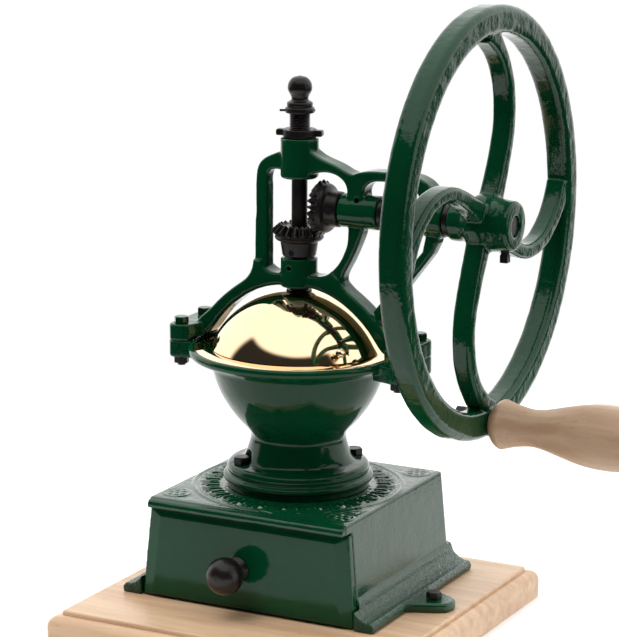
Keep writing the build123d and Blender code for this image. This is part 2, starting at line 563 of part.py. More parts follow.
post = web([
    ("l", [(-27.9, 208.0), (-27.6, 240.0)]),
    ("s", [(-27.6, 240.0), (-27.2, 256.0), (-26.9, 267.0), (-25.9, 272.2), (-22.8, 276.6), (-17.6, 279.8), (-9.0, 283.2)]),
    ("l", [(-9.0, 283.2), (-9.0, 271.6)]),
    ("s", [(-9.0, 271.6), (-14.0, 271.4), (-17.4, 270.4), (-18.9, 267.4), (-19.0, 262.0)]),
    ("l", [(-19.0, 262.0), (-18.9, 208.0), (-27.9, 208.0)]),
], -4.6, 4.6)
post = soften(post, on_planes(post, "Y", [-4.6, 4.6]), 1.7)

larm = web([
    ("l", [(20.0, 207.0), (17.0, 210.6)]),
    ("s", [(17.0, 210.6), (22.6, 213.6), (27.3, 218.6), (30.9, 224.8), (33.2, 231.4), (33.8, 238.0), (33.8, 244.0)]),
    ("l", [(33.8, 244.0), (44.4, 244.0)]),
    ("s", [(44.4, 244.0), (42.6, 236.0), (39.8, 229.0), (36.6, 222.0), (33.2, 215.8), (31.2, 211.0), (32.0, 206.4)]),
    ("l", [(32.0, 206.4), (20.0, 207.0)]),
], -5.6, 5.6)
larm = soften(larm, on_planes(larm, "Y", [-5.6, 5.6]), 2.4)

tarm = web([
    ("l", [(0.0, 270.0), (0.0, 287.0)]),
    ("s", [(0.0, 287.0), (9.0, 285.0), (14.2, 281.6), (21.2, 278.9), (28.7, 276.2), (34.0, 273.8), (37.6, 272.8)]),
    ("s", [(37.6, 272.8), (41.0, 274.3), (46.0, 275.4), (60.0, 276.0), (74.0, 275.4), (82.7, 272.8), (88.6, 267.6), (90.6, 260.0)]),
    ("l", [(90.6, 260.0), (90.6, 256.0), (80.0, 256.0), (80.0, 260.0)]),
    ("s", [(80.0, 260.0), (78.6, 265.2), (73.0, 269.0), (64.0, 270.2), (55.0, 270.0), (49.0, 268.8), (45.6, 265.8), (44.8, 260.0)]),
    ("l", [(44.8, 260.0), (44.8, 255.0), (33.8, 255.0), (33.8, 261.0)]),
    ("s", [(33.8, 261.0), (33.4, 265.2), (31.1, 268.8), (26.7, 271.4), (21.4, 272.4), (15.4, 271.8), (10.0, 270.0)]),
    ("l", [(10.0, 270.0), (0.0, 270.0)]),
], -7.0, 7.0)
tarm = soften(tarm, on_planes(tarm, "Y", [-7.0, 7.0]), 2.2)

strut = web([
    ("l", [(52.4, 187.4), (50.6, 193.0), (81.4, 231.4), (84.0, 244.0), (92.4, 244.0), (91.4, 237.4), (88.0, 230.0),
           (58.4, 191.4), (57.4, 184.6), (52.4, 187.4)]),
], -5.4, 5.4)
strut = soften(strut, on_planes(strut, "Y", [-5.4, 5.4]), 2.2)

frame = arch + post + larm + tarm + strut
tb = cyl(TOP_BOSS_R, TOP_BOSS_Z0, TOP_BOSS_Z1)
tb = fillet(on_planes(tb, "Z", [TOP_BOSS_Z0]), 2.0)
tb = fillet(on_planes(tb, "Z", [TOP_BOSS_Z1]), 0.9)
lb = cyl(LOW_BOSS_R, LOW_BOSS_Z0, LOW_BOSS_Z1)
lb = fillet(on_planes(lb, "Z", [LOW_BOSS_Z0, LOW_BOSS_Z1]), 0.9)
si = cylx(10.1, 28.7, 53.6)
si = fillet(on_planes(si, "X", [28.7, 53.6]), 1.2)
so = cylx(10.6, 72.0, 95.0)
so = fillet(on_planes(so, "X", [72.0, 95.0]), 1.2)
frame = frame + tb + lb + si + so
for sgn in (1, -1):
    a = Pos(sgn * LUG_X, -LUG_Y) * Circle(LUG_R)
    b = Pos(sgn * LUG_X, LUG_Y) * Circle(LUG_R)
    pl = make_face(Polyline((sgn * 61.0, -7.5), (sgn * 65.0, -LUG_Y - 4.5), (sgn * LUG_X, -LUG_Y - LUG_R),
                            (sgn * (LUG_X + LUG_R), -LUG_Y), (sgn * (LUG_X + LUG_R), LUG_Y),
                            (sgn * LUG_X, LUG_Y + LUG_R), (sgn * 65.0, LUG_Y + 4.5), (sgn * 61.0, 7.5), close=True))
    foot = Pos(0, 0, LUG_Z1 + 0.02) * extrude(a + b + pl, amount=FOOT_Z1 - LUG_Z1 - 0.02)
    foot = soften(foot, on_planes(foot, "Z", [FOOT_Z1]), 1.4)
    frame = frame + foot
frame = frame - cyl(66.2, LUG_Z1 - 4, 167.2)
for sgn in (1, -1):
    for s in (-1, 1):
        frame = frame - cyl(2.6, LUG_Z1 - 1, FOOT_Z1 + 1, sgn * LUG_X, s * LUG_Y)
# bores
frame = frame - cyl(SPINDLE_R + RUN, 195, 274.6)
frame = frame - cyl(SCREW_R + RUN, 274.6, 295)
frame = frame - cylx(SHAFT_R + RUN, 28.0, 100.0)
# oil holes
frame = frame - cyly(1.3, -16, -4, -1.6, 214.4)
frame = frame - (Pos(40.6, 0, SHAFT_Z) * Rot(42, 0, 0) * Pos(0, 0, 9) * Cylinder(1.4, 10))
frame = max(solids_of(frame), key=lambda q: q.volume)
save("bridge_frame", frame)

bb, bn = [], []
for sgn in (1, -1):
    for s in (-1, 1):
        x, y = sgn * LUG_X, s * LUG_Y
        bb.append(hex_bolt(8.0, 2.45, FOOT_Z1 + 0.03, 4.0, 149.6, x, y, 10 * s * sgn))
        bn.append(hex_prism(8.0, 150.9, LUG_Z0 - 0.05, x, y, 17 * s) - cyl(2.5, 149, 158, x, y))
save("bridge_bolts", bb)
save("bridge_nuts", bn)

# ---------------------------------------------------------------- adjuster
ball = Pos(0, 0, 277.1) * Sphere(2.95)
save("thrust_ball", ball)
scr = lathe([
    ("l", [(0, 280.1), (5.4, 280.1), (SCREW_R, 280.9), (SCREW_R, 305.2), (8.1, 305.2), (8.6, 305.7), (8.6, 307.9), (8.1, 308.4),
           (7.4, 308.4), (7.4, 310.8), (6.6, 311.6)]),
    ("s", [(6.6, 311.6), (5.0, 312.4), (4.3, 313.6), (4.6, 314.6), (5.4, 315.7)]),
    ("s", [(5.4, 315.7), (6.9, 318.2), (7.2, 320.8), (6.5, 323.9), (4.2, 326.8), (0.0, 328.0)]),
    ("l", [(0.0, 328.0), (0, 280.1)]),
])
pin_dir = Rot(0, 0, 27.4)
scr = scr - (pin_dir * cylx(0.72, -20, 20, 0, 306.8))
save("adjusting_screw", scr)
save("adjuster_pin", pin_dir * cylx(0.7, -11.8, 9.0, 0, 306.8))
ln = cyl(10.0, 291.1, 296.0)
ln = fillet(on_planes(ln, "Z", [291.1, 296.0]), 0.8)
lugs = Rot(0, 0, 12) * (fillet(block(-13.9, 13.9, -2.4, 2.4, 291.9, 295.6).edges().filter_by(Axis.Y), 1.0))
ln = ln + lugs
ln = ln - cyl(SCREW_R + RUN, 285, 300)
save("lock_nut", ln)

# ---------------------------------------------------------------- brass cover
cz = DOME_APEX_Z - DOME_R        # sphere centre of the door's outer skin


def shell(ro, t, hole, z_base):
    s = Pos(0, 0, cz) * Sphere(ro) - Pos(0, 0, cz) * Sphere(ro - t)
    s = s & block(-80, 80, -80, 80, z_base, 260)
    return s - cyl(hole, 100, 260)


T_SKIN = 0.8
RF = DOME_R - T_SKIN - 0.4       # outer radius of the fixed half


def on_arc(ro, r0, r1, n=13):
    """Points (r, z) on the sphere of radius ro from radius r0 to radius r1."""
    a0, a1 = math.asin(r0 / ro), math.asin(r1 / ro)
    return [(ro * math.sin(a0 + (a1 - a0) * i / (n - 1)), cz + ro * math.cos(a0 + (a1 - a0) * i / (n - 1))) for i in range(n)]


r_out = math.sqrt(RF ** 2 - (166.2 - cz) ** 2)
r_inn = math.sqrt((RF - T_SKIN) ** 2 - (165.02 - cz) ** 2)
arc_out, arc_in = on_arc(RF, r_out, 7.6), on_arc(RF - T_SKIN, 7.6, r_inn)
fixed = lathe([
    ("l", [(62.3, 165.02), (62.3, 166.2), arc_out[0]]),
    ("s", arc_out),
    ("l", [arc_out[-1], (7.6, DOME_APEX_Z + 0.6), (5.6, DOME_APEX_Z + 0.6), (5.6, DOME_APEX_Z - 3.4), (7.6, DOME_APEX_Z - 3.4), arc_in[0]]),
    ("s", arc_in),
    ("l", [arc_in[-1], (62.3, 165.02)]),
])
# the front half stays open under the door, but for a cap round the hub
fixed = fixed - (block(-80, 80, -80, -1.5, 166.2, 260) - cyl(12.0, 150, 280))
fixed = max(solids_of(fixed), key=lambda q: q.volume)
save("dome_cover", fixed)

door = shell(DOME_R, T_SKIN, 7.65, DOME_BASE_Z)
half = block(-80, 80, -80, 0.0, 150, 260)
capd = cyl(13.0, 150, 260)
door_front = (door & half) + (door & capd)
door_front = max(solids_of(door_front), key=lambda q: q.volume)
ka = math.radians(-36.3)
kr = 50.2
kz = cz + math.sqrt(DOME_R ** 2 - kr ** 2)
# outward normal of the sphere at the knob
kd = Vector(kr * math.cos(ka), kr * math.sin(ka), kz - cz).normalized()
kp = Vector(0, 0, cz) + kd * DOME_R
kpl = Plane(origin=kp, z_dir=kd)
door_front = door_front - (kpl * Pos(0, 0, -1) * Cylinder(0.95, 8))
save("dome_door", door_front)
kn = lathe([
    ("l", [(0, 0.03), (2.2, 0.03), (2.2, 0.7), (1.2, 1.2), (1.2, 2.3)]),
    ("s", [(1.2, 2.3), (2.5, 3.2), (2.9, 4.6), (2.3, 6.0), (0.0, 6.8)]),
    ("l", [(0.0, 6.8), (0, 0.03)]),
])
kn = kn + Pos(0, 0, -0.2) * Cylinder(0.9, 0.9)
save("door_knob", kpl * kn)

print("parts written")
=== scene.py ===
import math

import bmesh
import bpy
import numpy as np
from mathutils import Matrix, Vector, noise


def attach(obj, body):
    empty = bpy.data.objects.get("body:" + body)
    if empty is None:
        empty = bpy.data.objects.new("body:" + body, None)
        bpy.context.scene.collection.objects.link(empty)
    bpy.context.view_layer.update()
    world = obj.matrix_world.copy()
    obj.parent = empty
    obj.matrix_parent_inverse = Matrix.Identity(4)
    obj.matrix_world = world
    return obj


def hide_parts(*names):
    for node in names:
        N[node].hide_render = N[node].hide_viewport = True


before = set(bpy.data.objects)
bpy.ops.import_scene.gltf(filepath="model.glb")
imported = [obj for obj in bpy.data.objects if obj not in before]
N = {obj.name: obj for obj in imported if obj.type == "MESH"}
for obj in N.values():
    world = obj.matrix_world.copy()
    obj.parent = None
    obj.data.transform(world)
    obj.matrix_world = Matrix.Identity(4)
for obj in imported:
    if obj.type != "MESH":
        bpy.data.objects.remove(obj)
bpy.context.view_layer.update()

MM = 0.001


# ---------------------------------------------------------------- node helpers
class Mat:
    """Small helper to build a node tree."""

    def __init__(self, name):
        self.m = bpy.data.materials.new(name)
        self.m.use_nodes = True
        self.t = self.m.node_tree
        self.t.nodes.clear()
        self.out = self.new("ShaderNodeOutputMaterial")
        self.b = self.new("ShaderNodeBsdfPrincipled")
        self.link(self.b.outputs[0], self.out.inputs["Surface"])
        self.co = self.new("ShaderNodeTexCoord").outputs["Object"]

    def new(self, kind, **kw):
        n = self.t.nodes.new(kind)
        for k, v in kw.items():
            setattr(n, k, v)
        return n

    def link(self, a, b):
        self.t.links.new(a, b)

    def put(self, sock, v):
        if hasattr(v, "is_output"):
            self.link(v, sock)
        else:
            sock.default_value = v

    def math(self, op, a, b=0.0, clamp=False, c=None):
        n = self.new("ShaderNodeMath", operation=op, use_clamp=clamp)
        self.put(n.inputs[0], a)
        self.put(n.inputs[1], b)
        if c is not None:
            self.put(n.inputs[2], c)
        return n.outputs[0]

    def vmul(self, v, s):
        n = self.new("ShaderNodeVectorMath", operation="MULTIPLY")
        self.put(n.inputs[0], v)
        self.put(n.inputs[1], s)
        return n.outputs[0]

    def vadd(self, v, s):
        n = self.new("ShaderNodeVectorMath", operation="ADD")
        self.put(n.inputs[0], v)
        self.put(n.inputs[1], s)
        return n.outputs[0]

    def xyz(self, v=None):
        n = self.new("ShaderNodeSeparateXYZ")
        self.put(n.inputs[0], self.co if v is None else v)
        return n.outputs

    def noise(self, scale, detail=2.0, rough=0.5, v=None, dist=0.0, color=False):
        n = self.new("ShaderNodeTexNoise")
        self.put(n.inputs["Vector"], self.co if v is None else v)
        n.inputs["Scale"].default_value = scale
        n.inputs["Detail"].default_value = detail
        n.inputs["Roughness"].default_value = rough
        n.inputs["Distortion"].default_value = dist
        return n.outputs["Color" if color else "Fac"]

    def voronoi(self, scale, feature="F1", v=None, out="Distance", rand=1.0):
        n = self.new("ShaderNodeTexVoronoi", feature=feature)
        self.put(n.inputs["Vector"], self.co if v is None else v)
        n.inputs["Scale"].default_value = scale
        n.inputs["Randomness"].default_value = rand
        return n.outputs[out]

    def ramp(self, f, stops, interp="LINEAR"):
        n = self.new("ShaderNodeValToRGB")
        n.color_ramp.interpolation = interp
        e = n.color_ramp.elements
        while len(e) < len(stops):
            e.new(0.5)
        for s, (p, c) in zip(e, stops):
            s.position = p
            s.color = (*c, 1.0) if hasattr(c, "__len__") else (c, c, c, 1.0)
        self.put(n.inputs[0], f)
        return n.outputs["Color"]

    def rng(self, f, a, b, c, d, smooth=False):
        n = self.new("ShaderNodeMapRange", clamp=True)
        if smooth:
            n.interpolation_type = "SMOOTHSTEP"
        self.put(n.inputs["Value"], f)
        for k, v in zip(("From Min", "From Max", "To Min", "To Max"), (a, b, c, d)):
            n.inputs[k].default_value = v
        return n.outputs["Result"]

    def mix(self, f, a, b, blend="MIX"):
        n = self.new("ShaderNodeMix", data_type="RGBA", blend_type=blend)
        self.put(n.inputs["Factor"], f)
        for s, v in ((n.inputs[6], a), (n.inputs[7], b)):
            if hasattr(v, "is_output"):
                self.link(v, s)
            else:
                s.default_value = (*v, 1.0)
        return n.outputs[2]

    def mixf(self, f, a, b):
        n = self.new("ShaderNodeMix", data_type="FLOAT")
        self.put(n.inputs["Factor"], f)
        self.put(n.inputs[2], a)
        self.put(n.inputs[3], b)
        return n.outputs[0]

    def bump(self, h, dist, strength=1.0, normal=None):
        n = self.new("ShaderNodeBump")
        self.put(n.inputs["Height"], h)
        n.inputs["Distance"].default_value = dist
        self.put(n.inputs["Strength"], strength)
        if normal is not None:
            self.link(normal, n.inputs["Normal"])
        return n.outputs[0]

    def done(self, color, rough, normal=None, metallic=0.0, coat=0.0, coat_rough=0.03, coat_normal=None, spec=0.5, ior=1.5,
             aniso=0.0):
        b = self.b
        if hasattr(color, "is_output"):
            self.link(color, b.inputs["Base Color"])
        else:
            b.inputs["Base Color"].default_value = (*color, 1.0)
        self.put(b.inputs["Roughness"], rough)
        self.put(b.inputs["Metallic"], metallic)
        b.inputs["Coat Weight"].default_value = coat
        b.inputs["Coat Roughness"].default_value = coat_rough
        b.inputs["Specular IOR Level"].default_value = spec
        b.inputs["IOR"].default_value = ior
        b.inputs["Anisotropic"].default_value = aniso
        if normal is not None:
            self.link(normal, b.inputs["Normal"])
        if coat_normal is not None:
            self.link(coat_normal, b.inputs["Coat Normal"])
        return self.m


# ---------------------------------------------------------------- materials
def enamel(name, peel=1.0, rough_cast=0.0, tint=0.93, where=None, spec=0.25):
    """Dark green gloss enamel over a sand casting."""
    m = Mat(name)
    big = m.noise(14.0, 3.0, 0.55)
    mid = m.noise(95.0, 3.0, 0.6)
    col = m.mix(m.rng(big, 0.3, 0.7, 0.0, 1.0), (0.0007 * tint, 0.040 * tint, 0.0135 * tint), (0.0011 * tint, 0.054 * tint, 0.0185 * tint))
    col = m.mix(m.rng(mid, 0.60, 0.80, 0.0, 0.45), col, (0.0006, 0.028, 0.0095))
    wave = m.noise(60.0, 2.0, 0.5)           # long soft waves of the casting under the paint
    peel_h = m.noise(760.0 if where else 420.0, 2.0, 0.55)       # orange peel
    grit = m.noise(1300.0, 2.0, 0.6)
    n1 = m.bump(wave, 0.00045 * min(peel, 1.2), 0.5)
    n2 = m.bump(peel_h, 0.00010 * peel, 0.55, n1)
    if rough_cast > 0:
        if where == "flange":
            x, y, z = m.xyz()
            ax = m.math("ABSOLUTE", x)
            a = m.rng(ax, 0.0692, 0.0708, 0.0, 1.0, True)
            b = m.rng(ax, 0.0835, 0.0860, 1.0, 0.15, True)
            c = m.rng(z, 0.0340, 0.0380, 1.0, 0.0, True)
            mask = m.math("MULTIPLY", m.math("MULTIPLY", a, b), c)
        else:
            mask = 1.0
        lump = m.voronoi(520.0, "SMOOTH_F1")
        lump2 = m.noise(700.0, 4.0, 0.7)
        h = m.math("ADD", m.math("MULTIPLY", lump, 0.6), m.math("MULTIPLY", lump2, 0.8))
        n2 = m.bump(h, 0.0011 * rough_cast, mask, n2)
    rough = m.rng(m.noise(240.0, 4.0, 0.6), 0.25, 0.75, 0.055, 0.12)
    n3 = m.bump(grit, 0.00002, 0.35, n2)
    return m.done(col, rough, n3, spec=spec)


def black_steel(name, rough0=0.28, rough1=0.44, metallic=0.0):
    m = Mat(name)
    f = m.noise(180.0, 5.0, 0.65)
    col = m.mix(m.rng(f, 0.35, 0.7, 0.0, 1.0), (0.0050, 0.0036, 0.0036), (0.0135, 0.0095, 0.0092))
    col = m.mix(m.rng(m.noise(900.0, 3.0, 0.6), 0.66, 0.78, 0.0, 0.4), col, (0.034, 0.026, 0.024))
    rough = m.rng(m.noise(500.0, 4.0, 0.6), 0.3, 0.7, rough0, rough1)
    n = m.bump(m.noise(1500.0, 3.0, 0.6), 0.00004, 0.5)
    return m.done(col, rough, n, metallic=metallic, spec=0.30)


def turned_steel(name, axis):
    """Black steel with fine tool marks round the axis."""
    m = Mat(name)
    x, y, z = m.xyz()
    a = {"X": x, "Z": z}[axis]
    rings = m.noise(1.0, 3.0, 0.7, v=m.vmul(m.co, {"X": (5200.0, 30.0, 30.0), "Z": (30.0, 30.0, 5200.0)}[axis]))
    col = m.mix(m.rng(m.noise(160.0, 4.0, 0.6), 0.35, 0.7, 0.0, 1.0), (0.0055, 0.0040, 0.0040), (0.014, 0.0100, 0.0096))
    col = m.mix(m.rng(rings, 0.6, 0.85, 0.0, 0.35), col, (0.038, 0.030, 0.028))
    rough = m.rng(rings, 0.25, 0.75, 0.24, 0.42)
    n = m.bump(rings, 0.00003, 0.5)
    return m.done(col, rough, n, metallic=0.0, spec=0.32)


def brass(name):
    m = Mat(name)
    f = m.noise(30.0, 4.0, 0.6)
    col = m.mix(m.rng(f, 0.3, 0.7, 0.0, 1.0), (0.90, 0.655, 0.40), (0.93, 0.70, 0.45))
    x, y, z = m.xyz()
    # spun sheet: faint rings about the axis of the dome
    r = m.math("SQRT", m.math("ADD", m.math("MULTIPLY", x, x), m.math("MULTIPLY", y, y)))
    rc = m.new("ShaderNodeCombineXYZ")
    m.link(r, rc.inputs[0])
    spun = m.noise(900.0, 3.0, 0.6, v=rc.outputs[0])
    rough = m.math("ADD", m.rng(spun, 0.3, 0.7, 0.035, 0.065), m.rng(m.noise(220.0, 5.0, 0.7), 0.62, 0.85, 0.0, 0.10))
    n = m.bump(m.noise(38.0, 2.0, 0.5), 0.00018, 0.35)
    return m.done(col, rough, n, metallic=1.0)


def wood(name, axis, dark=1.0, pink=0.0, rough0=0.32):
    """Beech: fine straight pores, short flecks, gentle long bands. axis is the grain direction."""
    m = Mat(name)
    k = {"X": (1.0, 14.0, 14.0), "Y": (14.0, 1.0, 14.0), "Z": (14.0, 14.0, 1.0)}[axis]
    k2 = {"X": (1.0, 30.0, 30.0), "Y": (30.0, 1.0, 30.0), "Z": (30.0, 30.0, 1.0)}[axis]
    k3 = {"X": (1.0, 6.0, 6.0), "Y": (6.0, 1.0, 6.0), "Z": (6.0, 6.0, 1.0)}[axis]
    warp = m.noise(9.0, 2.0, 0.5, color=True)
    wv = m.vadd(m.co, m.vmul(warp, (0.006, 0.006, 0.006)))
    bands = m.noise(11.0, 3.0, 0.55, v=m.vmul(wv, k), dist=0.25)
    pores = m.noise(95.0, 4.0, 0.7, v=m.vmul(wv, k2))
    fleck = m.noise(120.0, 2.0, 0.5, v=m.vmul(m.co, k3))
    a = (0.71 * dark, 0.495 * dark, 0.315 * dark)
    b = (0.59 * dark, 0.370 * dark, 0.225 * dark)
    c = (0.42 * dark, 0.230 * dark, 0.128 * dark)
    if pink:
        a = (a[0], a[1] * (1 - pink), a[2] * (1 - pink * 0.3))
        b = (b[0], b[1] * (1 - pink), b[2] * (1 - pink * 0.3))
    col = m.mix(m.rng(bands, 0.36, 0.66, 0.0, 1.0), a, b)
    col = m.mix(m.rng(pores, 0.56, 0.78, 0.0, 0.55), col, c)
    col = m.mix(m.rng(fleck, 0.66, 0.74, 0.0, 0.45), col, (c[0] * 0.9, c[1] * 0.85, c[2] * 0.8))
    rough = m.rng(pores, 0.3, 0.8, rough0, rough0 + 0.2)
    n = m.bump(pores, 0.00008, 0.45)
    n = m.bump(bands, 0.00010, 0.2, n)
    return m.done(col, rough, n, spec=0.4, coat=0.12, coat_rough=0.25)


def knob_black(name):
    m = Mat(name)
    f = m.noise(60.0, 3.0, 0.6)
    col = m.mix(f, (0.0055, 0.0040, 0.0036), (0.0120, 0.0090, 0.0078))
    rough = m.rng(m.noise(380.0, 4.0, 0.6), 0.3, 0.75, 0.24, 0.36)
    n = m.bump(m.noise(900.0, 3.0, 0.6), 0.00005, 0.4)
    return m.done(col, rough, n, spec=0.35)


def iron(name):
    m = Mat(name)
    f = m.noise(300.0, 5.0, 0.7)
    col = m.mix(f, (0.16, 0.155, 0.15), (0.34, 0.33, 0.32))
    rough = m.rng(f, 0.3, 0.7, 0.32, 0.55)
    n = m.bump(m.noise(900.0, 4.0, 0.6), 0.0001, 0.5)
    return m.done(col, rough, n, metallic=0.9)


M = {
    "enamel": enamel("enamel"),
    "enamel_base": enamel("enamel_base", peel=2.2, rough_cast=1.0, where="flange", spec=0.52),
    # painted light: a lighter copy of the same green enamel, so the drawer front reads brighter as if more lit
    "enamel_front_painted_light": enamel("enamel_front_painted_light", tint=1.1),
    "enamel_bolt": enamel("enamel_bolt", tint=0.6, spec=0.35),
    # painted highlight: the relief's enamel is a lighter copy of the housing paint, so the raised ornament reads
    # brighter
    "enamel_relief_painted_light": enamel("enamel_relief_painted_light", peel=1.8, tint=1.1, spec=0.9),
    "enamel_wheel": enamel("enamel_wheel", peel=2.0, spec=0.32),
    "black": black_steel("black_steel"),
    "turned_z": turned_steel("turned_steel_z", "Z"),
    "turned_x": turned_steel("turned_steel_x", "X"),
    "brass": brass("brass"),
    "board": wood("beech_board", "X"),
    "grip": wood("beech_grip", "X", dark=0.74, pink=0.02, rough0=0.36),
    "tray": wood("beech_tray", "Y", dark=1.03, rough0=0.5),
    "knob": knob_black("knob_black"),
    "iron": iron("burr_iron"),
}
USE = {
    "base_board": "board", "base_housing": "enamel", "board_screws": "black", "hopper_bowl": "enamel",
    "pedestal_bolts": "black", "fixed_burr": "iron", "bridge_frame": "enamel", "bridge_bolts": "enamel_bolt",
    "bridge_nuts": "black", "dome_cover": "brass", "drawer_front": "enamel_front_painted_light", "drawer_tray": "tray",
    "tray_screws": "black", "drawer_knob": "knob", "knob_screw": "black", "crank_shaft": "turned_x",
    "flywheel": "enamel", "drive_bevel_gear": "black", "drive_gear_pin": "black", "inner_collar": "turned_x",
    "outer_collar": "turned_x", "collar_screws": "black", "hub_set_screw": "black", "handle_stud": "turned_x",
    "stud_nut": "black", "handle_washer": "black", "crank_handle": "grip", "thrust_ball": "black",
    "spindle": "turned_z", "driven_bevel_gear": "black", "driven_gear_pin": "black", "runner_burr": "iron",
    "burr_pin": "black", "burr_nut": "black", "adjusting_screw": "turned_z", "adjuster_pin": "black",
    "lock_nut": "black", "dome_door": "brass", "door_knob": "brass",
}


def paint(obj, key):
    obj.data.materials.clear()
    obj.data.materials.append(M[key])


for name, key in USE.items():
    paint(N[name], key)


# ---------------------------------------------------------------- mesh helpers
def new_obj(name, mesh):
    o = bpy.data.objects.new(name, mesh)
    bpy.context.scene.collection.objects.link(o)
    return o


def shade(mesh, deg=34.0):
    mesh.polygons.foreach_set("use_smooth", [True] * len(mesh.polygons))
    mesh.set_sharp_from_angle(angle=math.radians(deg))
    mesh.update()


def flow(pts, n=8):
    """A smooth curve through 2D points, n steps a span."""
    p = [np.array(q, float) for q in pts]
    p = [2 * p[0] - p[1]] + p + [2 * p[-1] - p[-2]]
    out = []
    for i in range(1, len(p) - 2):
        a, b, c, d = p[i - 1], p[i], p[i + 1], p[i + 2]
        for k in range(n):
            t = k / n
            out.append(tuple(0.5 * ((2 * b) + (c - a) * t + (2 * a - 5 * b + 4 * c - d) * t * t + (3 * b - a - 3 * c + d) * t ** 3)))
    out.append(tuple(p[-2]))
    return out


def arc2(cx, cy, r, a0, a1, n=8):
    return [(cx + r * math.cos(math.radians(a0 + (a1 - a0) * i / n)), cy + r * math.sin(math.radians(a0 + (a1 - a0) * i / n))) for i in range(n + 1)]


def turned(name, prof, seg=160, closed=True, mat=None, turn=None, deg=34.0):
    """Turn an outline of (r, h) in mm about Z. turn(r, h, angle) may move a point."""
    out = [prof[0]]
    for q in prof[1:]:
        if math.hypot(q[0] - out[-1][0], q[1] - out[-1][1]) > 1e-4:
            out.append(q)
    prof = out
    if closed and math.hypot(prof[0][0] - prof[-1][0], prof[0][1] - prof[-1][1]) < 1e-4:
        prof = prof[:-1]
    bm = bmesh.new()
    rings = []
    for r, h in prof:
        if r < 1e-5:
            rings.append([bm.verts.new((0, 0, h * MM))])
            continue
        ring = []
        for k in range(seg):
            a = 2 * math.pi * k / seg
            rr, hh = turn(r, h, a) if turn else (r, h)
            ring.append(bm.verts.new((rr * math.cos(a) * MM, rr * math.sin(a) * MM, hh * MM)))
        rings.append(ring)
    pairs = list(zip(rings[:-1], rings[1:]))
    if closed and len(rings[0]) > 1 and len(rings[-1]) > 1:
        pairs.append((rings[-1], rings[0]))
    for a, b in pairs:
        if len(a) == 1 and len(b) == 1:
            continue
        for k in range(seg):
            j = (k + 1) % seg
            if len(a) == 1:
                bm.faces.new((a[0], b[k], b[j]))
            elif len(b) == 1:
                bm.faces.new((a[k], b[0], a[j]))
            else:
                bm.faces.new((a[k], b[k], b[j], a[j]))
    bmesh.ops.recalc_face_normals(bm, faces=bm.faces)
    me = bpy.data.meshes.new(name)
    bm.to_mesh(me)
    bm.free()
    if mat is not None:
        me.transform(mat)
    shade(me, deg)
    return new_obj(name, me)


def applied(o):
    """Turn an object's modifiers into mesh."""
    bpy.context.view_layer.update()
    dg = bpy.context.evaluated_depsgraph_get()
    me = bpy.data.meshes.new_from_object(o.evaluated_get(dg))
    o.modifiers.clear()
    old = o.data
    o.data = me
    me.name = o.name
    bpy.data.meshes.remove(old)
    return o


def cast(name, nodes, body, key, voxel, smooth=6, factor=0.5, extra=(), lumps=None, thin=None, replace=True, deg=60.0):
    """A cast or machined piece with softened edges: the nodes' own shape, meshed evenly and relaxed."""
    bm = bmesh.new()
    for n in nodes:
        bm.from_mesh(N[n].data)
    for o in extra:
        bm.from_mesh(o.data)
    bmesh.ops.remove_doubles(bm, verts=bm.verts, dist=2e-6)
    me = bpy.data.meshes.new(name)
    bm.to_mesh(me)
    bm.free()
    for o in extra:
        bpy.data.objects.remove(o)
    o = new_obj(name, me)
    r = o.modifiers.new("even", "REMESH")
    r.mode = "VOXEL"
    r.voxel_size = voxel * MM
    r.use_smooth_shade = True
    s = o.modifiers.new("relax", "SMOOTH")
    s.factor = factor
    s.iterations = smooth
    for size, amount in (lumps or ()):
        t = bpy.data.textures.new(name + "_lump", "CLOUDS")
        t.noise_scale = size * MM
        t.noise_depth = 1
        d = o.modifiers.new("lump", "DISPLACE")
        d.texture = t
        d.texture_coords = "LOCAL"
        d.strength = amount * MM
        d.mid_level = 0.85
    if thin:
        q = o.modifiers.new("thin", "DECIMATE")
        q.ratio = thin
    applied(o)
    shade(o.data, deg)
    o.data.materials.clear()
    o.data.materials.append(M[key])
    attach(o, body)
    if replace:
        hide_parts(*nodes)
    return o


def finish_piece(o, body, key, *nodes):
    o.data.materials.clear()
    o.data.materials.append(M[key])
    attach(o, body)
    if nodes:
        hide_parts(*nodes)
    return o


# ---------------------------------------------------------------- cast pieces
HALF_ROUND = 0.6


def smoothstep(a, b, x):
    t = np.clip((x - a) / (b - a), 0.0, 1.0)
    return t * t * (3 - 2 * t)


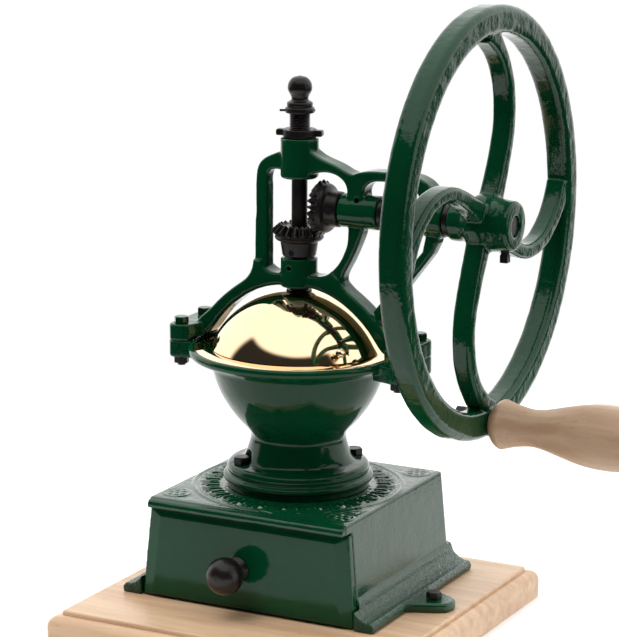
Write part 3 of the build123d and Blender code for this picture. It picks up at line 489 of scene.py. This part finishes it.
def top_relief():
    """The cast top plate: ring mouldings, a border of plain tongues and darts, a rosette in each corner."""
    step = 0.40
    xs = np.arange(-63.4, 63.41, step)
    ys = np.arange(-63.4, 65.21, step)
    X, Y = np.meshgrid(xs, ys)
    R = np.hypot(X, Y)
    T = np.arctan2(Y, X)

    def ridge(d, w, h):
        return h * np.clip(1 - (d / w) ** 2, 0, 1) ** HALF_ROUND

    H = np.zeros_like(R)
    H = np.maximum(H, ridge(R - 62.4, 1.25, 1.15))
    H = np.maximum(H, ridge(R - 59.4, 0.95, 0.85))
    H = np.maximum(H, 0.8 * (1 - smoothstep(46.6, 47.4, R)))
    n = 24
    ph = (T / (2 * math.pi) * n) % 1.0 - 0.5
    v = ph * 2 * math.pi / n * R
    u = R - 52.4
    loop = np.abs(np.hypot(np.maximum(u - 0.9, 0), v) - 3.7)
    loop = np.where(u < -4.4, np.hypot(loop, -4.4 - u), loop)
    H = np.maximum(H, ridge(loop, 1.15, 1.5))
    inner = np.hypot(v, np.maximum(np.abs(u + 1.4) - 2.4, 0))
    H = np.maximum(H, ridge(inner, 1.15, 1.3))
    ph2 = (T / (2 * math.pi) * n + 0.5) % 1.0 - 0.5
    v2 = ph2 * 2 * math.pi / n * R
    dart_w = 0.35 + 0.55 * smoothstep(-3.5, 3.0, u)
    dart = np.hypot(v2 / dart_w, np.maximum(np.abs(u + 0.6) - 3.2, 0) / 0.7)
    H = np.maximum(H, ridge(dart, 1.0, 1.2))
    bead = np.hypot(v2, u - 4.4)
    H = np.maximum(H, ridge(bead, 1.1, 1.25))
    for cx, cy in ((-54.0, -51.5), (54.0, -51.5), (52.5, 55.0), (-52.5, 55.0)):
        dx, dy = X - cx, Y - cy
        q = np.hypot(dx, dy)
        f = np.arctan2(dy, dx)
        H = np.maximum(H, ridge(q - 7.9, 0.85, 0.75))
        petal = np.abs(np.cos(3 * f + 0.4)) ** 0.6 * np.clip(1 - ((q - 4.3) / 2.5) ** 2, 0, 1) ** 0.6
        H = np.maximum(H, 0.95 * petal)
        H = np.maximum(H, ridge(q, 1.6, 1.05))
    # a thick coat of paint rounds everything off
    k = np.array([1, 4, 6, 4, 1], float) / 16
    for _ in range(2):
        H = sum(w * np.roll(H, i - 2, 0) for i, w in enumerate(k))
        H = sum(w * np.roll(H, i - 2, 1) for i, w in enumerate(k))
    lump = np.array([noise.noise(Vector((x * 0.19, y * 0.19, 3.1))) for x, y in zip(X.ravel(), Y.ravel())]).reshape(X.shape)
    fine = np.array([noise.noise(Vector((x * 0.75, y * 0.75, 7.7))) for x, y in zip(X.ravel(), Y.ravel())]).reshape(X.shape)
    H = H + 0.16 * lump + 0.09 * fine
    edge = np.minimum(np.minimum(X - xs[0], xs[-1] - X), np.minimum(Y - ys[0], ys[-1] - Y))
    Z = 81.2 + 0.06 + H
    Z = Z - 0.55 * (1 - smoothstep(0.0, 1.6, edge))
    keep = R > 41.4
    bm = bmesh.new()
    idx = {}

    def vert(i, j):
        if (i, j) not in idx:
            idx[i, j] = bm.verts.new((xs[j] * MM, ys[i] * MM, Z[i, j] * MM))
        return idx[i, j]

    ni, nj = X.shape
    for i in range(ni - 1):
        for j in range(nj - 1):
            if keep[i, j] and keep[i + 1, j] and keep[i, j + 1] and keep[i + 1, j + 1]:
                bm.faces.new((vert(i, j), vert(i, j + 1), vert(i + 1, j + 1), vert(i + 1, j)))
    rim = [e for e in bm.edges if e.is_boundary]
    ex = bmesh.ops.extrude_edge_only(bm, edges=rim)
    low = [g for g in ex["geom"] if isinstance(g, bmesh.types.BMVert)]
    for g in low:
        g.co.z = 79.6 * MM
    base = [g for g in ex["geom"] if isinstance(g, bmesh.types.BMEdge)]
    bmesh.ops.bridge_loops(bm, edges=base)
    bmesh.ops.recalc_face_normals(bm, faces=bm.faces)
    me = bpy.data.meshes.new("plate_relief")
    bm.to_mesh(me)
    bm.free()
    shade(me, 60.0)
    # the relief takes the lighter enamel copy: a painted highlight on the ornament
    return finish_piece(new_obj("plate_relief", me), "stand", "enamel_relief_painted_light")


top_relief()
cast("housing_casting", ["base_housing"], "stand", "enamel_base", 0.62, smooth=7, lumps=((7.0, 0.10),), thin=0.45)
cast("bowl_casting", ["hopper_bowl"], "stand", "enamel", 0.60, smooth=8, lumps=((12.0, 0.12),), thin=0.5)
cast("bridge_casting", ["bridge_frame"], "stand", "enamel", 0.46, smooth=9, lumps=((6.0, 0.22),), thin=0.5)
cast("wheel_casting", ["flywheel"], "crank", "enamel_wheel", 0.62, smooth=8, lumps=((9.0, 0.30), (2.6, 0.10)), thin=0.5)
# the drawer front takes the lighter enamel copy: painted light
cast("drawer_face", ["drawer_front"], "drawer", "enamel_front_painted_light", 0.62, smooth=3, thin=0.35)


# ---------------------------------------------------------------- brass dome
DOME_R, SKIN = 58.0, 0.8
DOME_C = 200.0 - DOME_R


def dome_arc(ro, r0, r1, n=56):
    a0, a1 = math.asin(r0 / ro), math.asin(r1 / ro)
    return [(ro * math.sin(a0 + (a1 - a0) * i / n), DOME_C + ro * math.cos(a0 + (a1 - a0) * i / n)) for i in range(n + 1)]


def cut_by(o, verts, faces):
    """Cut the solid given by verts (mm) and faces out of o."""
    me = bpy.data.meshes.new("cutter")
    me.from_pydata([(x * MM, y * MM, z * MM) for x, y, z in verts], [], faces)
    bm = bmesh.new()
    bm.from_mesh(me)
    bmesh.ops.recalc_face_normals(bm, faces=bm.faces)
    bm.to_mesh(me)
    bm.free()
    c = new_obj("cutter", me)
    b = o.modifiers.new("cut", "BOOLEAN")
    b.operation = "DIFFERENCE"
    b.solver = "EXACT"
    b.object = c
    applied(o)
    bpy.data.objects.remove(c)
    return o


def behind(y0, r, z0, z1, sgn=1, n=40):
    """A block on the +Y side (or -Y with sgn=-1) of y = y0, less a round of radius r about the Z axis."""
    c = math.asin(min(1.0, y0 / r))
    ring = [(r * math.cos(c + (math.pi - 2 * c) * i / n), sgn * r * math.sin(c + (math.pi - 2 * c) * i / n)) for i in range(n + 1)]
    poly = [(90.0, sgn * y0)] + ring + [(-90.0, sgn * y0), (-90.0, sgn * 90.0), (90.0, sgn * 90.0)]
    k = len(poly)
    verts = [(x, y, z0) for x, y in poly] + [(x, y, z1) for x, y in poly]
    faces = [list(range(k)), list(range(2 * k - 1, k - 1, -1))] + [[i, (i + 1) % k, k + (i + 1) % k, k + i] for i in range(k)]
    return verts, faces


def domes():
    zb = 166.6
    ro = math.sqrt(DOME_R ** 2 - (zb - DOME_C) ** 2)
    ri = math.sqrt((DOME_R - SKIN) ** 2 - (zb - DOME_C) ** 2)
    out = dome_arc(DOME_R, 7.65, ro)
    inn = dome_arc(DOME_R - SKIN, 7.65, ri)
    prof = out + [(ro - 0.15, zb - 0.02)] + inn[::-1]
    door = turned("dome_front", prof, 288, deg=40)
    cut_by(door, *behind(0.02, 13.0, 150.0, 230.0))
    shade(door.data, 40)
    finish_piece(door, "lid_door", "brass", "dome_door")
    rf = DOME_R - SKIN - 0.4
    r_out = math.sqrt(rf ** 2 - (166.2 - DOME_C) ** 2)
    r_in = math.sqrt((rf - SKIN) ** 2 - (165.05 - DOME_C) ** 2)
    out = dome_arc(rf, r_out, 7.55)
    inn = dome_arc(rf - SKIN, 7.55, r_in)
    lip = arc2(61.75, 165.65, 0.52, -80, 80, 6)
    roll = [(r_out + 1.2, 166.2), (r_out + 0.55, 166.28), (r_out + 0.12, 166.62)]
    prof = lip + roll + dome_arc(rf, math.sqrt(rf ** 2 - (166.9 - DOME_C) ** 2), 7.55)
    prof += [(7.55, 200.35), (7.3, 200.6), (5.9, 200.6), (5.62, 200.3), (5.62, 196.7), (7.5, 196.65)] + inn + [(r_in + 0.3, 165.05)]
    back_half = turned("dome_back", prof, 288, deg=40)
    cut_by(back_half, *behind(1.5, 12.0, 166.95, 230.0, sgn=-1))
    shade(back_half.data, 40)
    finish_piece(back_half, "stand", "brass", "dome_cover")
    back_half.data.materials.append(M["black"])       # the pivot ring is black
    for q in back_half.data.polygons:
        if math.hypot(q.center.x, q.center.y) < 0.0077 and q.center.z > 0.196:
            q.material_index = 1


domes()


# ---------------------------------------------------------------- turned and small pieces
def place(x, y, z, axis):
    """Matrix that puts +Z of a turned piece on an axis."""
    t = Matrix.Translation((x * MM, y * MM, z * MM))
    if axis == "X":
        return t @ Matrix.Rotation(math.radians(90), 4, "Y")
    if axis == "-Y":
        return t @ Matrix.Rotation(math.radians(90), 4, "X")
    return t


def adjusting_screw():
    prof = [(0.0, 280.1), (5.4, 280.1), (6.1, 280.9)]
    z = 281.0
    while z < 304.75:
        prof.append((6.1, z))
        z += 0.125
    prof += [(5.5, 304.9), (5.5, 305.4), (8.0, 305.4), (8.45, 305.6), (8.6, 306.0), (8.6, 308.0), (8.45, 308.4), (8.0, 308.7),
             (7.4, 308.8), (7.3, 309.0), (7.55, 309.3), (7.6, 311.0), (7.3, 311.6), (6.7, 311.95)]
    prof += flow([(6.6, 312.0), (5.4, 312.7), (4.95, 313.7), (5.1, 314.8), (5.6, 316.0)], 6)
    prof += flow([(5.6, 316.0), (6.8, 318.2), (7.15, 320.3), (6.5, 323.2), (4.2, 325.9), (0.0, 327.1)], 8)

    def thread(r, h, a):
        if 281.0 <= h <= 304.8 and r > 6.0:
            t = (h - a / (2 * math.pi)) % 1.0
            d = abs(t - 0.5) * 2.0
            fade = min(1.0, (h - 281.0) / 0.6, (304.8 - h) / 0.6)
            return 6.12 - 0.46 * max(0.0, min(1.0, (d - 0.12) / 0.76)) * max(fade, 0.0), h
        return r, h

    o = turned("screw_threaded", prof, 96, closed=False, turn=thread, deg=50)
    finish_piece(o, "adjuster", "turned_z", "adjusting_screw")


adjusting_screw()


def drawer_knob():
    prof = [(2.1, 0.4), (7.0, 0.4), (7.4, 0.65), (7.4, 1.0)]
    prof += flow([(7.4, 1.2), (6.2, 2.6), (4.9, 4.6), (4.9, 6.6), (6.4, 8.4)], 8)
    prof += flow([(6.4, 8.4), (9.6, 10.6), (10.95, 14.4), (10.6, 18.6), (8.2, 23.0), (4.4, 25.6), (0.0, 26.4)], 12)
    prof += [(0.0, 12.0), (2.1, 12.0)]
    o = turned("knob_turned", prof, 128, mat=place(-5.0, -66.13, 45.8, "-Y"))
    finish_piece(o, "drawer", "knob", "drawer_knob")


drawer_knob()


def grip():
    prof = [(4.1, 0.0), (8.9, 0.0), (9.4, 0.25)]
    prof += flow([(9.4, 0.3), (12.2, 2.6), (14.0, 5.1), (14.5, 7.0), (13.9, 8.9), (12.2, 15.0), (11.0, 22.0), (10.9, 27.5), (12.0, 34.0),
                  (14.6, 44.0), (17.2, 55.0), (18.5, 66.0), (18.4, 77.0), (16.8, 89.0), (13.8, 99.0), (11.0, 104.6), (8.9, 107.6)], 9)
    prof += [(8.4, 108.0), (7.9, 108.0), (7.6, 107.7), (7.6, 102.0), (4.1, 102.0)]

    def lathe_marks(r, h, a):
        if r > 8.8:
            r += 0.035 * noise.noise(Vector((h * 1.1, math.cos(a) * 0.15, math.sin(a) * 0.15)))
        return r, h

    o = turned("grip_turned", prof, 128, turn=lathe_marks, mat=place(126.3, 0, 134.9, "X"))
    finish_piece(o, "handle", "grip", "crank_handle")


grip()

SMALL = [
    ("driven_bevel_gear", "spindle", 0.26, 3), ("drive_bevel_gear", "crank", 0.26, 3),
    ("lock_nut", "lock_nut", 0.24, 4), ("board_screws", "stand", 0.20, 4), ("pedestal_bolts", "stand", 0.22, 4),
    ("bridge_bolts", "stand", 0.20, 4), ("bridge_nuts", "stand", 0.18, 4), ("inner_collar", "crank", 0.22, 4),
    ("outer_collar", "crank", 0.22, 4), ("hub_set_screw", "crank", 0.16, 3), ("stud_nut", "crank", 0.22, 4),
    ("adjuster_pin", "adjuster", 0.12, 3), ("door_knob", "lid_door", 0.14, 3),
]
for node, body, vox, it in SMALL:
    cast(node + "_soft", [node], body, USE[node], vox, smooth=it)

# ---------------------------------------------------------------- camera
az, el, roll = math.radians(27.38), math.radians(12.68), math.radians(0.29)
back = Vector((math.sin(az) * math.cos(el), -math.cos(az) * math.cos(el), math.sin(el)))
right = Vector((math.cos(az), math.sin(az), 0.0))
up = back.cross(right)
r2 = right * math.cos(roll) + up * math.sin(roll)
u2 = -right * math.sin(roll) + up * math.cos(roll)
target = right * 0.0062 + Vector((0, 0, 0.18273))
cam_at = target + back * 1.608
cam = bpy.data.objects.new("camera", bpy.data.cameras.new("camera"))
bpy.context.scene.collection.objects.link(cam)
cam.matrix_world = Matrix(((r2.x, u2.x, back.x, cam_at.x), (r2.y, u2.y, back.y, cam_at.y), (r2.z, u2.z, back.z, cam_at.z), (0, 0, 0, 1)))
cam.data.sensor_width = 36.0
cam.data.lens = 2720.0 / 637.0 * 36.0
cam.data.clip_start, cam.data.clip_end = 0.05, 60.0
bpy.context.scene.camera = cam

# ---------------------------------------------------------------- light and floor
OPEN_A, OPEN_LO, OPEN_HI = (0.08, 0.30), (-0.60, -0.35), (0.68, 0.78)
TENT, OPENING, GLOW = 1.55, 0.03, 0.0
world = bpy.data.worlds.new("studio")
bpy.context.scene.world = world
world.use_nodes = True
wt = world.node_tree
wt.nodes.clear()
wo = wt.nodes.new("ShaderNodeOutputWorld")
bg = wt.nodes.new("ShaderNodeBackground")
tc = wt.nodes.new("ShaderNodeTexCoord")


def wmath(op, p, q=0.0, clamp=False):
    n = wt.nodes.new("ShaderNodeMath")
    n.operation, n.use_clamp = op, clamp
    for sock, v in ((n.inputs[0], p), (n.inputs[1], q)):
        if hasattr(v, "is_output"):
            wt.links.new(v, sock)
        else:
            sock.default_value = v
    return n.outputs[0]


def wdot(v):
    n = wt.nodes.new("ShaderNodeVectorMath")
    n.operation = "DOT_PRODUCT"
    n.inputs[1].default_value = v
    wt.links.new(tc.outputs["Generated"], n.inputs[0])
    return n.outputs["Value"]


def wstep(f, lo, hi, a, b):
    n = wt.nodes.new("ShaderNodeMapRange")
    n.interpolation_type = "SMOOTHSTEP"
    for k, v in zip(("From Min", "From Max", "To Min", "To Max"), (lo, hi, a, b)):
        n.inputs[k].default_value = v
    wt.links.new(f, n.inputs["Value"])
    return n.outputs["Result"]


def ray(az_d, el_d):
    a, e = math.radians(az_d), math.radians(el_d)
    return (math.sin(a) * math.cos(e), -math.cos(a) * math.cos(e), math.sin(e))


# a white tent with a dark opening on the side of the camera
ahead = wstep(wdot(ray(4.0, 0.0)), OPEN_A[0], OPEN_A[1], 0.0, 1.0)
height = wdot((0.0, 0.0, 1.0))
band = wmath("MULTIPLY", wstep(height, OPEN_LO[0], OPEN_LO[1], 0.0, 1.0), wstep(height, OPEN_HI[0], OPEN_HI[1], 1.0, 0.0))
opening = wmath("MULTIPLY", ahead, band)
backdrop = wstep(wdot(ray(207.4, 0.0)), 0.50, 0.78, 0.0, 1.0)
under = wmath("MULTIPLY", wstep(height, -0.16, 0.06, 1.0, 0.0), wmath("SUBTRACT", 1.0, backdrop))
dark = wmath("MAXIMUM", opening, under)
glow = wstep(wdot(ray(-38.0, 58.0)), 0.86, 0.97, 0.0, GLOW)
tent = wmath("ADD", wstep(dark, 0.0, 1.0, TENT, OPENING), glow)
seen = wt.nodes.new("ShaderNodeLightPath")
mixv = wt.nodes.new("ShaderNodeMix")
mixv.data_type = "FLOAT"
wt.links.new(seen.outputs["Is Camera Ray"], mixv.inputs["Factor"])
wt.links.new(tent, mixv.inputs[2])
mixv.inputs[3].default_value = 1.0
wt.links.new(mixv.outputs[0], bg.inputs["Strength"])
bg.inputs["Color"].default_value = (1.0, 1.0, 1.0, 1.0)
wt.links.new(bg.outputs[0], wo.inputs[0])


def softbox(name, az_d, el_d, dist, w, h, power, aim=(0.0, 0.0, 0.19), color=(1.0, 1.0, 1.0)):
    a, e = math.radians(az_d), math.radians(el_d)
    d = Vector((math.sin(a) * math.cos(e), -math.cos(a) * math.cos(e), math.sin(e)))
    lt = bpy.data.lights.new(name, "AREA")
    lt.shape = "RECTANGLE"
    lt.size, lt.size_y = w, h
    lt.energy = power
    lt.color = color
    o = bpy.data.objects.new(name, lt)
    bpy.context.scene.collection.objects.link(o)
    o.location = Vector(aim) + d * dist
    o.rotation_mode = "QUATERNION"
    o.rotation_quaternion = d.to_track_quat("Z", "Y")
    return o


softbox("key_left", -38, 62, 1.5, 0.8, 0.8, 10.0).visible_glossy = False

fm = Mat("floor_paper")
fl = fm.noise(3.0, 3.0, 0.5)
fcol = fm.mix(fl, (0.88, 0.88, 0.878), (0.92, 0.92, 0.918))
fm.b.inputs["Emission Color"].default_value = (1.0, 1.0, 1.0, 1.0)
fm.b.inputs["Emission Strength"].default_value = 0.20
fm.done(fcol, fm.rng(fm.noise(40.0, 3.0, 0.5), 0.3, 0.7, 0.75, 0.85), fm.bump(fm.noise(900.0, 2.0, 0.5), 0.00005, 0.3), spec=0.2)
fmesh = bpy.data.meshes.new("floor")
R = 0.56
fmesh.from_pydata([(R * math.cos(i * math.pi / 48), R * math.sin(i * math.pi / 48), 0.0) for i in range(96)], [], [list(range(96))])
floor = bpy.data.objects.new("floor", fmesh)
floor.data.materials.append(fm.m)
bpy.context.scene.collection.objects.link(floor)

bpy.context.scene.view_settings.view_transform = "Standard"
bpy.context.scene.view_settings.look = "None"
bpy.context.scene.view_settings.exposure = 0.0
bpy.context.scene.view_settings.gamma = 1.0
